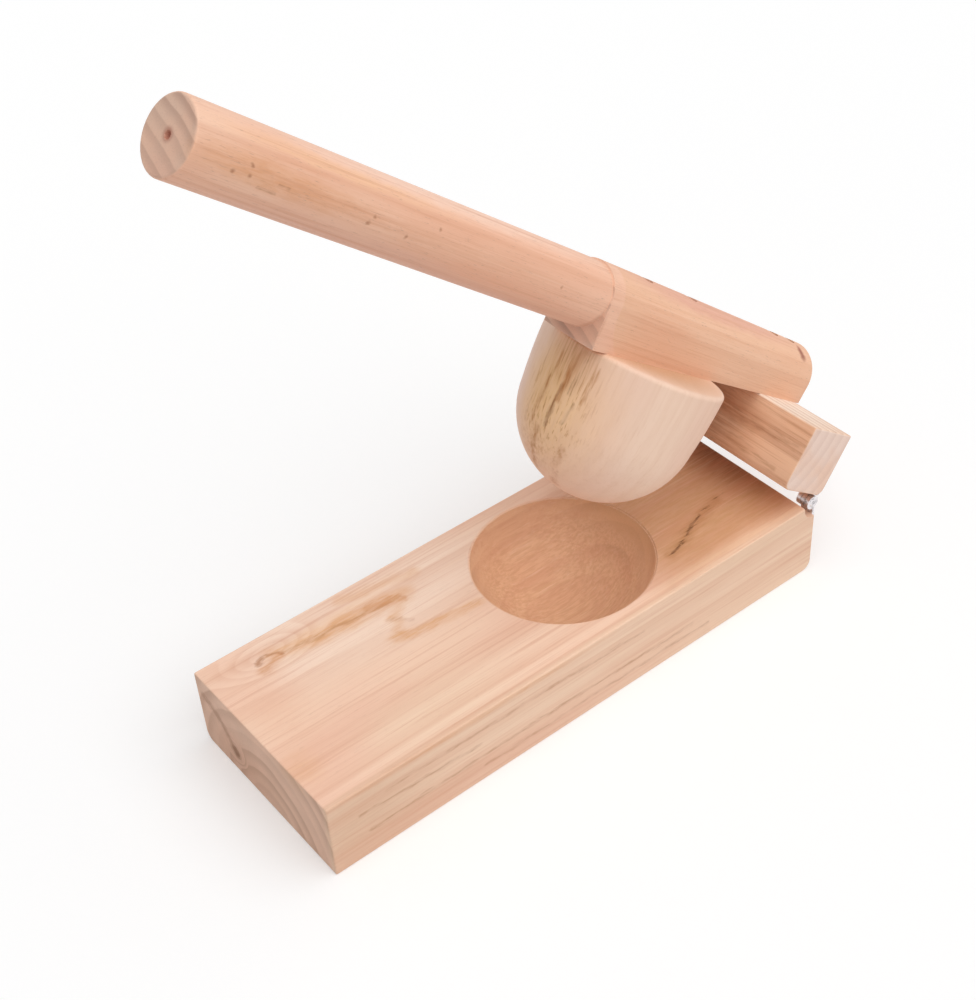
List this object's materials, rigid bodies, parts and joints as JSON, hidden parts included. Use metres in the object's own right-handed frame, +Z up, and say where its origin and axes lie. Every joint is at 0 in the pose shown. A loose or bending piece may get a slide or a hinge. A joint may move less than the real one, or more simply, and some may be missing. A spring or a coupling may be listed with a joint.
{
  "type": "dough press",
  "caption": "Wooden dough press: a heavy board with a round bowl in its top, and a hinged lever that carries a domed press head down into the bowl.",
  "frame": {"origin": "centre of the base board's underside", "axes": "+X across the board to the right seen from the grip end, +Y along the board towards the hinges, +Z up; the underside faces -Z"},
  "size_m": [0.1, 0.3145, 0.3198],
  "materials": {
    "base_wood": "bare planed softwood",
    "block_wood": "bare sawn softwood",
    "lever_wood": "bare turned softwood",
    "head_wood": "bare turned softwood",
    "hinge_steel": "zinc plated, slightly dull",
    "screw_steel": "zinc plated, slightly dull"
  },
  "bodies": {
    "base": {"base_board": "base_wood", "base_leaf_left": "hinge_steel", "hinge_pin_left": "hinge_steel", "base_leaf_screws_left": "screw_steel", "base_leaf_right": "hinge_steel", "hinge_pin_right": "hinge_steel", "base_leaf_screws_right": "screw_steel"},
    "lever": {"hinge_block": "block_wood", "lever_arm": "lever_wood", "press_head": "head_wood", "head_screws": "screw_steel", "block_screws": "screw_steel", "block_leaf_left": "hinge_steel", "block_leaf_screws_left": "screw_steel", "block_leaf_right": "hinge_steel", "block_leaf_screws_right": "screw_steel"}
  },
  "joints": [
    {"name": "lever_hinge", "type": "hinge", "parent": "base", "child": "lever", "pos_m": [0, 0.1383, 0.0393], "axis": [-1, 0, 0], "range_deg": [-31.7, 86.3]}
  ]
}
